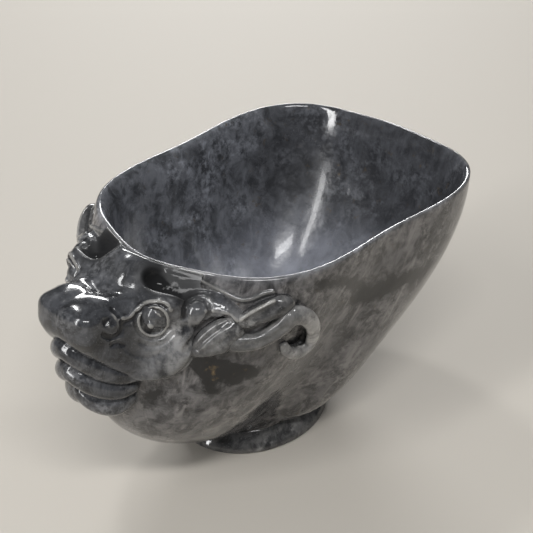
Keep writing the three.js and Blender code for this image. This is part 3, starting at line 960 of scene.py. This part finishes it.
for name, stations, flatness in (("ear", EAR, 0.62), ("horn", HORN, 0.8), ("horn_scroll", LOCK, 0.75)):
    path, radii = laid(stations)
    middle_pixel = stations[len(stations) // 2][:2]
    outward = np.array(wall_tree.ray_cast(camera.location, sight(middle_pixel))[1])
    strands = [(path, radii)]
    if name == "horn":
        strands.append(laid(HORN_CREST))

    def leaf(p):
        q = to_left(p)
        value = strand(q, path, radii, outward, flatness)
        for crest in strands[1:]:
            value = join(value, strand(q, *crest), blend=0.8)
        return rooted(value, p, blend=0.7)

    for side, hand in ((1, "left"), (-1, "right")):
        seeds = [seed for part in strands for seed in seeds_along(*part, origin=0, sides=[side])]
        carve(name + "_" + hand, seeds, leaf, [name + "_" + hand], grid=LEAF_GRID, lines=LEAF_LINES[name])

# %% [markdown]
# A material is a chain of small nodes. Written out one by one they fill pages, so a few helpers add a node,
# set its values and link it in one line. The ones that come back most are a blend of two colours, a soft
# step between two values, and a cloud of noise.

# %% Helpers for nodes
# The Mix node has sockets for every kind of value, and these are the ones that it uses for colours
MIX_SHARE, MIX_FIRST, MIX_SECOND, MIX_RESULT = 0, 6, 7, 2


def feed(tree, socket, value):
    """Links a socket to another one, or gives it a value of its own."""
    if isinstance(value, bpy.types.NodeSocket):
        tree.links.new(value, socket)
    else:
        socket.default_value = value


def add(tree, kind, sockets=None, **settings):
    """A node with its settings and with its sockets fed."""
    node = tree.nodes.new(kind)
    for name, value in settings.items():
        setattr(node, name, value)
    for name, value in (sockets or {}).items():
        feed(tree, node.inputs[name], value)
    return node


def maths(tree, operation, *values):
    return add(tree, "ShaderNodeMath", dict(enumerate(values)), operation=operation).outputs[0]


def blend_colours(tree, share, first, second):
    """The first colour at a share of 0, the second at 1."""
    sockets = {MIX_SHARE: share, MIX_FIRST: first, MIX_SECOND: second}
    return add(tree, "ShaderNodeMix", sockets, data_type="RGBA").outputs[MIX_RESULT]


def between(tree, value, span, to_low=0.0, to_high=1.0):
    """A soft step: to_low where the value is at the span's first end, to_high at its second."""
    sockets = {"Value": value, "From Min": span[0], "From Max": span[1], "To Min": to_low, "To Max": to_high}
    return add(tree, "ShaderNodeMapRange", sockets, interpolation_type="SMOOTHSTEP").outputs["Result"]


def cloud(tree, vector, scale, detail, roughness=0.55, distortion=0.0):
    """Noise from 0 to 1, in lumps of about one metre divided by the scale."""
    sockets = {"Vector": vector, "Scale": scale, "Detail": detail, "Roughness": roughness,
               "Distortion": distortion}
    return add(tree, "ShaderNodeTexNoise", sockets).outputs["Fac"]


def kept(tree, name):
    """The value that each point of the mesh keeps under this name."""
    return add(tree, "ShaderNodeAttribute", attribute_name=name).outputs["Fac"]


def opaque(red, green, blue):
    return red, green, blue, 1


# %% [markdown]
# The stone is dark grey jade: charcoal with cloudy lighter patches of a few millimetres, finer mottling
# inside them, steep streaks and pale flecks. Noise of several sizes, one of them stretched, gives all of
# these, and one group holds it so that every part of the cup is cut from the same block. The group also
# reads the two values kept at each point: thin edges turn paler, as light passes through them, tight
# grooves and hollows get painted shade, dark almost to black, and hollows stay dull, because the polisher's
# leather doesn't reach the bottom of them.

# %% Stone pattern
# A span says from where to where in its noise or kept value a colour comes in
PATCH_SPAN = (0.36, 0.66)
LARGE_SPAN = (0.42, 0.66)
SMALL_SPAN = (0.4, 0.7)
PALE_STREAK_SPAN = (0.5, 0.72)
DARK_STREAK_SPAN = (0.42, 0.28)
FLECK_SPAN = (0.62, 0.74)
EDGE_SPAN = (0.3, 1.0)
EDGE_SHARE = 0.7
# The groove and hollow spans and colours below are painted shade, darkest in tight grooves and deep hollows
GROOVE_SPAN = (-0.1, -0.7)
GROOVE_SHARE = 0.85
GROOVE_SHADE_COLOUR = opaque(0.004, 0.004, 0.005)
HOLLOW_SPAN = (0.0, -0.9)
HOLLOW_SHARE = 0.92
HOLLOW_SHADE_COLOUR = opaque(0.006, 0.006, 0.007)
WEAR_SPAN = (0.3, 0.7)
GLOSSIEST = 0.05
DULLEST = 0.13
HOLLOW_ROUGHNESS = 0.5
STREAK_TILT = (0, 0.4, 0)
STREAK_STRETCH = (1, 1, 5)
FINE_WAVE_SHARE = 0.11

group = bpy.data.node_groups.new("jade pattern", "ShaderNodeTree")
PATTERN_INPUTS = {"Vector": "Vector", "Bend": "Float", "Relief": "Float", "Dark": "Color", "Middle": "Color",
                  "Pale": "Color", "Edge": "Color", "Streaks": "Float", "Flecks": "Float"}
PATTERN_OUTPUTS = {"Color": "Color", "Roughness": "Float", "Height": "Float"}
for way, named in (("INPUT", PATTERN_INPUTS), ("OUTPUT", PATTERN_OUTPUTS)):
    for name, kind in named.items():
        group.interface.new_socket(name, in_out=way, socket_type="NodeSocket" + kind)
given = add(group, "NodeGroupInput").outputs
spot = given["Vector"]
tilt = add(group, "ShaderNodeMapping", {"Vector": spot, "Rotation": STREAK_TILT, "Scale": STREAK_STRETCH},
           vector_type="TEXTURE").outputs["Vector"]
large = cloud(group, spot, scale=60, detail=4, roughness=0.6, distortion=0.8)
patches = cloud(group, spot, scale=190, detail=7, roughness=0.65, distortion=0.6)
small = cloud(group, spot, scale=520, detail=5, roughness=0.65)
streaks = cloud(group, tilt, scale=260, detail=7, roughness=0.62, distortion=0.5)
flecks = cloud(group, spot, scale=1900, detail=2, roughness=0.5)
waves = cloud(group, spot, scale=110, detail=2, roughness=0.5)
fine_waves = cloud(group, spot, scale=800, detail=2, roughness=0.5)

pale_share = maths(group, "MULTIPLY", between(group, large, LARGE_SPAN), between(group, small, SMALL_SPAN))
pale_streaks = maths(group, "MULTIPLY", between(group, streaks, PALE_STREAK_SPAN), given["Streaks"])
dark_streaks = maths(group, "MULTIPLY", between(group, streaks, DARK_STREAK_SPAN), given["Streaks"])
fleck_share = maths(group, "MULTIPLY", between(group, flecks, FLECK_SPAN), given["Flecks"])
# Painted shade and dullness: the deeper a point lies in a hollow, the darker and rougher the stone
hollow_shade_and_dull = between(group, given["Relief"], HOLLOW_SPAN, to_high=HOLLOW_SHARE)
body = blend_colours(group, between(group, patches, PATCH_SPAN), given["Dark"], given["Middle"])
for share, colour in (
        (pale_share, given["Pale"]),
        (pale_streaks, given["Pale"]),
        (dark_streaks, given["Dark"]),
        (fleck_share, given["Pale"]),
        (between(group, given["Bend"], EDGE_SPAN, to_high=EDGE_SHARE), given["Edge"]),
        # Painted shade: tight grooves and deep hollows are darkened almost to black
        (between(group, given["Bend"], GROOVE_SPAN, to_high=GROOVE_SHARE), GROOVE_SHADE_COLOUR),
        (hollow_shade_and_dull, HOLLOW_SHADE_COLOUR)):
    body = blend_colours(group, share, body, colour)
worn = between(group, small, WEAR_SPAN, to_low=GLOSSIEST, to_high=DULLEST)
add(group, "NodeGroupOutput", {
    "Color": body,
    "Roughness": maths(group, "MULTIPLY_ADD", hollow_shade_and_dull, HOLLOW_ROUGHNESS, worn),
    "Height": maths(group, "MULTIPLY_ADD", fine_waves, FINE_WAVE_SHARE, waves),
})
print("nodes in the stone's pattern:", len(group.nodes))

# %% [markdown]
# Polished jade is not a mirror. It has a soft gloss with a thin, sharper film of wax over it, so the shader
# gets a small roughness that wanders a little and a light coat. The colour alone changes from place to place:
# cooler and cloudier inside the bowl, warmer outside, palest on the locks, darkest on the snout.

# %% Polished jade
POLISH = {"IOR": 1.5, "Coat Weight": 0.2, "Coat Roughness": 0.04}
BUMP_STRENGTH = 0.5
BUMP_DEPTH = 0.0006


def stone(dark, middle, pale, edge, streaks, flecks):
    """One stone's own values for the shared pattern."""
    return {"Dark": opaque(*dark), "Middle": opaque(*middle), "Pale": opaque(*pale), "Edge": opaque(*edge),
            "Streaks": streaks, "Flecks": flecks}


def jade(name, values):
    """Polished jade in one stone's own values.

    Gives its material, its nodes, the shader's inputs, the pattern's outputs and the place of each point.
    """
    material = bpy.data.materials.new(name)
    material.use_nodes = True
    tree = material.node_tree
    shader = tree.nodes["Principled BSDF"].inputs
    spot = add(tree, "ShaderNodeTexCoord").outputs["Object"]
    sockets = {"Vector": spot, "Bend": kept(tree, "bend"), "Relief": kept(tree, "relief"), **values}
    pattern = add(tree, "ShaderNodeGroup", sockets, node_tree=group).outputs
    bump = add(tree, "ShaderNodeBump", {"Strength": BUMP_STRENGTH, "Distance": BUMP_DEPTH,
                                        "Height": pattern["Height"]})
    finish = {**POLISH, "Base Color": pattern["Color"], "Roughness": pattern["Roughness"],
              "Normal": bump.outputs["Normal"]}
    for socket, value in finish.items():
        feed(tree, shader[socket], value)
    print("made", name)
    return material, tree, shader, pattern, spot


LOCK_STONE = stone((0.03, 0.0298, 0.03), (0.1, 0.099, 0.1), (0.22, 0.217, 0.212), (0.4, 0.385, 0.36),
                   streaks=0.35, flecks=0.4)
FOOT_STONE = stone((0.024, 0.024, 0.0245), (0.1, 0.098, 0.096), (0.2, 0.196, 0.19), (0.2, 0.195, 0.19),
                   streaks=0.3, flecks=0.3)
lock_jade = jade("lock_jade", LOCK_STONE)[0]
foot_jade = jade("foot_jade", FOOT_STONE)[0]

# %% [markdown]
# The head is the darkest stone, and only its cheeks are cloudy and pale, where they run back into the bowl.
# A share that grows along the cup and fades towards the brow keeps the cloud there. The hollows behind the
# temples get painted shade, almost black, and are dulled with the value that the face keeps.

# %% Stone of the head
HEAD_STONE = stone((0.014, 0.0145, 0.016), (0.055, 0.057, 0.063), (0.16, 0.162, 0.17), (0.34, 0.33, 0.31),
                   streaks=0.35, flecks=0.4)
CHEEK_COLOUR = opaque(0.26, 0.258, 0.256)
CHEEK_BACK = (-0.056, -0.044)
CHEEK_TOP = (0.0665, 0.060)
CHEEK_CLOUD = (0.34, 0.6)
DEEP_HOLLOW_SHADE_COLOUR = opaque(0.003, 0.003, 0.0035)
SHADE_AND_DULL_SPAN = (0.2, 1)
DULL_ROUGHNESS = 0.45
HEAD_ROUGHNESS = 0.05

head_jade, tree, shader, pattern, spot = jade("head_jade", HEAD_STONE)
place = add(tree, "ShaderNodeSeparateXYZ", {"Vector": spot}).outputs
cheek_share = maths(tree, "MULTIPLY", between(tree, place["X"], CHEEK_BACK),
                    between(tree, place["Z"], CHEEK_TOP, to_low=0.12))
cheek_cloud = cloud(tree, spot, scale=230, detail=6, roughness=0.65)
cheek_share = maths(tree, "MULTIPLY", cheek_share, between(tree, cheek_cloud, CHEEK_CLOUD))
colour = blend_colours(tree, cheek_share, pattern["Color"], CHEEK_COLOUR)
# Painted shade: deep in the hollows the colour goes almost to black, and the roughness rises
shade_and_dull_share = between(tree, kept(tree, "dark_place"), SHADE_AND_DULL_SPAN, to_high=0.97)
feed(tree, shader["Base Color"], blend_colours(tree, shade_and_dull_share, colour, DEEP_HOLLOW_SHADE_COLOUR))
softer = maths(tree, "ADD", pattern["Roughness"], HEAD_ROUGHNESS)
feed(tree, shader["Roughness"], maths(tree, "MULTIPLY_ADD", shade_and_dull_share, DULL_ROUGHNESS, softer))

# %% [markdown]
# The lock under the horn is cut from the palest vein of the stone. Its stem is darker, and the pale colour
# only takes over towards the curl.

# %% Stone of the curled lock
SCROLL_STONE = stone((0.13, 0.128, 0.126), (0.4, 0.392, 0.382), (0.6, 0.585, 0.56), (0.6, 0.58, 0.55),
                     streaks=0.35, flecks=0.3)
STEM_COLOUR = opaque(0.05, 0.05, 0.051)
STEM_SPAN = (-0.027, -0.016)

scroll_jade, tree, shader, pattern, spot = jade("scroll_jade", SCROLL_STONE)
along = add(tree, "ShaderNodeSeparateXYZ", {"Vector": spot}).outputs["X"]
stem_share = between(tree, along, STEM_SPAN, to_low=0.75, to_high=0)
feed(tree, shader["Base Color"], blend_colours(tree, stem_share, pattern["Color"], STEM_COLOUR))

# %% [markdown]
# The bowl is one stone with two faces: brownish and streaked outside, bluish and cloudy inside, darker
# towards the far end and milky at the bottom. So the pattern is placed twice, and the value that the bowl
# keeps for its outer face chooses between them. Stains and painted shade with ragged edges come last, over
# both.

# %% Stone of the bowl
INSIDE_STONE = stone((0.05, 0.052, 0.057), (0.17, 0.176, 0.194), (0.34, 0.353, 0.39), (0.2, 0.2, 0.205),
                     streaks=0.3, flecks=0.25)
OUTSIDE_STONE = stone((0.026, 0.0252, 0.026), (0.15, 0.1445, 0.1445), (0.256, 0.243, 0.237),
                      (0.3, 0.29, 0.27), streaks=0.8, flecks=0.12)
FAR_END_COLOUR = opaque(0.02, 0.0205, 0.023)
FAR_END_SPAN = (0.03, 0.062)
BOTTOM_COLOUR = opaque(0.34, 0.355, 0.41)
BOTTOM_SPAN = (0.046, 0.018)
# Colours for the dark places, stains and painted shade together, and for the brown spot
STAINS_AND_SHADE = {"dark_place": opaque(0.005, 0.005, 0.0055), "brown_place": opaque(0.16, 0.11, 0.05)}
STAIN_AND_SHADE_SPAN = (1.28, 1.95)
RAGGEDNESS = 2.2
DARK_PLACE_DULL_SPAN = (0.5, 1)

bowl_jade, tree, shader, inside, spot = jade("bowl_jade", INSIDE_STONE)
outside = add(tree, "ShaderNodeGroup", {"Vector": spot, "Bend": kept(tree, "bend"), **OUTSIDE_STONE},
              node_tree=group).outputs
place = add(tree, "ShaderNodeSeparateXYZ", {"Vector": spot}).outputs
far_share = between(tree, place["X"], FAR_END_SPAN, to_high=0.75)
bottom_cloud = cloud(tree, spot, scale=150, detail=6, roughness=0.6)
bottom_share = maths(tree, "MULTIPLY", between(tree, place["Z"], BOTTOM_SPAN, to_high=1.3), bottom_cloud)
inner = blend_colours(tree, far_share, inside["Color"], FAR_END_COLOUR)
inner = blend_colours(tree, bottom_share, inner, BOTTOM_COLOUR)
colour = blend_colours(tree, kept(tree, "outside"), inner, outside["Color"])
ragged = cloud(tree, spot, scale=300, detail=7, roughness=0.72)
# Stains and painted shade, laid over both faces with ragged edges
for name, stain_and_shade_colour in STAINS_AND_SHADE.items():
    ragged_place = maths(tree, "MULTIPLY_ADD", ragged, RAGGEDNESS, kept(tree, name))
    colour = blend_colours(tree, between(tree, ragged_place, STAIN_AND_SHADE_SPAN, to_high=0.97), colour, stain_and_shade_colour)
feed(tree, shader["Base Color"], colour)
dark_place_dull = between(tree, kept(tree, "dark_place"), DARK_PLACE_DULL_SPAN, to_high=0.06)
feed(tree, shader["Roughness"], maths(tree, "ADD", inside["Roughness"], dark_place_dull))

# %% [markdown]
# A few dark marks are large enough to be recognised: two dark veins across the wall, a black patch under the
# ear with a brown spot in it, and painted shade inside the curl, in the hollow behind the temple, in the
# far end's corner under the rim and under the chin. Each is a stroke through pixels, laid on the wall, and
# every point of the bowl keeps how deep it lies inside one. Texture painting would do as well, but a stroke
# can be moved by changing a number.

# %% Veins, patches and painted shade
# Each stroke has its pixels, its half width and how softly it ends
DARK_PLACES = {
    "upper vein": ([(322, 283), (345, 283), (362, 287), (376, 291)], 1.8, 2.2),
    "long vein": ([(358, 297), (378, 290), (400, 282), (418, 276), (431, 264)], 3.0, 2.4),
    # Painted shade inside the curl
    "inside the curl": ([(289, 343), (298, 339)], 1.6, 1.0),
    "patch along the ear": ([(198, 361), (212, 364), (226, 367), (240, 370), (252, 374)], 2.2, 1.0),
    "patch towards the throat": ([(198, 366), (206, 376), (212, 390)], 2.0, 1.2),
    "patch's lower edge": ([(212, 374), (226, 378), (238, 379)], 2.4, 1.0),
    # Painted shade in the hollow behind the temple, in the far end's corner under the rim and under the chin
    "shade in the hollow behind the temple": ([(150, 268), (162, 274), (176, 279), (186, 282)], 2.4, 1.2),
    "shade in the corner of the far end": ([(446, 236), (436, 254), (422, 276)], 1.2, 2.6),
    "shade under the chin": ([(158, 392), (150, 400)], 2.4, 2.4),
}
BROWN_PLACES = {"brown spot in the patch": ([(213, 370), (214, 379)], 0.5, 1.3)}
OUTSIDE_ENDS = OUTER_RINGS + 4
OUTSIDE_FADE = 6


def stained_and_shaded(places):
    """How strongly each point of the bowl lies in the given places: 1 well inside, 0 outside."""
    spots = to_drawing(spots_of_mesh(bowl.data))
    share = np.zeros(len(spots))
    for pixels, radius, softness in places.values():
        path = [seen_at(wall_tree, pixel) for pixel in smooth_path(pixels, steps=4)]
        path = np.array([spot for spot in path if spot is not None])
        away = strand(spots, path, np.full(len(path), radius))
        share = np.maximum(share, np.clip(0.5 - away / (2 * softness), 0, 1))
    print("points stained:", int(np.sum(share > 0)))
    return share


keep_value(bowl.data, "outside", np.clip((OUTSIDE_ENDS - bowl_ring) / OUTSIDE_FADE, 0, 1))
# Dark places: the veins and the black patch, and painted shade in the curl, the hollow, the corner and under
# the chin
keep_value(bowl.data, "dark_place", stained_and_shaded(DARK_PLACES))
keep_value(bowl.data, "brown_place", stained_and_shaded(BROWN_PLACES))

# %% [markdown]
# Each piece gets its stone by the start of its name. A longer name comes before its own start, so that the
# curled lock isn't taken for a horn, and everything that isn't listed belongs to the head.

# %% Giving each piece its stone
STONE_OF = {"bowl": bowl_jade, "foot": foot_jade, "horn_scroll": scroll_jade, "horn": lock_jade,
            "ear": lock_jade}


def stone_of(name):
    """The stone of a piece: that of the first listed start which its name has, or else the head's."""
    for start, material in STONE_OF.items():
        if name.startswith(start):
            return material
    return head_jade


for piece in list(bpy.context.scene.objects):
    if piece.type == "MESH" and piece.get("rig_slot"):
        piece.data.materials.append(stone_of(piece.name))
        print("%-20s %s" % (piece.name, stone_of(piece.name).name))

# %% [markdown]
# A glossy dark stone is shown by what it mirrors. A tall narrow lamp behind the dragon's head draws the long
# streak down inside the bowl, a small one gives the patch on the floor of it, and a low window beyond the far
# end runs along the rim. A wide one above and behind the camera shows the face and the near wall. A dim sky
# that brightens upwards fills the shadows without washing the stone out.

# %% Floor, light and view
FLOOR_SIZE = 6
FLOOR_COLOUR = opaque(0.52, 0.485, 0.43)
FLOOR_ROUGHNESS = 0.7
SKY_COLOUR = opaque(0.92, 0.95, 1)
AIM = Vector((0, 0, 0.05))

bpy.ops.mesh.primitive_plane_add(size=FLOOR_SIZE)
floor = bpy.context.object
floor.name = "floor"
sheet = bpy.data.materials.new("floor")
sheet.use_nodes = True
matt = sheet.node_tree.nodes["Principled BSDF"].inputs
matt["Base Color"].default_value = FLOOR_COLOUR
matt["Roughness"].default_value = FLOOR_ROUGHNESS
floor.data.materials.append(sheet)


def softbox(name, bearing, lift, distance, width, height, watts):
    """A flat lamp that faces the cup from a bearing and a lift in degrees."""
    b = math.radians(bearing)
    e = math.radians(lift)
    away = Vector((math.cos(b) * math.cos(e), math.sin(b) * math.cos(e), math.sin(e)))
    lamp = bpy.data.lights.new(name, "AREA")
    lamp.shape = "RECTANGLE"
    lamp.size = width
    lamp.size_y = height
    lamp.energy = watts
    holder = bpy.data.objects.new(name, lamp)
    holder.location = away * distance + AIM
    holder.rotation_euler = away.to_track_quat("Z", "Y").to_euler()
    bpy.context.scene.collection.objects.link(holder)


softbox("strip", bearing=170, lift=28, distance=1.2, width=0.12, height=1.25, watts=8.5)
softbox("window", bearing=42, lift=20, distance=1.5, width=0.7, height=0.2, watts=11)
softbox("key", bearing=-129, lift=57, distance=1.4, width=0.8, height=0.16, watts=10)
softbox("top", bearing=68, lift=55, distance=1.4, width=0.16, height=0.12, watts=3)

world = bpy.data.worlds.new("studio")
world.use_nodes = True
tree = world.node_tree
way = add(tree, "ShaderNodeTexCoord").outputs["Generated"]
height = add(tree, "ShaderNodeSeparateXYZ", {0: way}).outputs["Z"]
brightness = add(tree, "ShaderNodeMapRange", {"Value": height, "From Min": 0.1, "From Max": 0.9,
                                              "To Min": 0.08, "To Max": 0.28}).outputs["Result"]
sky = tree.nodes["Background"].inputs
feed(tree, sky["Strength"], brightness)
feed(tree, sky["Color"], SKY_COLOUR)
bpy.context.scene.world = world
bpy.context.scene.view_settings.view_transform = "Standard"
print("lamps:", len(bpy.data.lights))
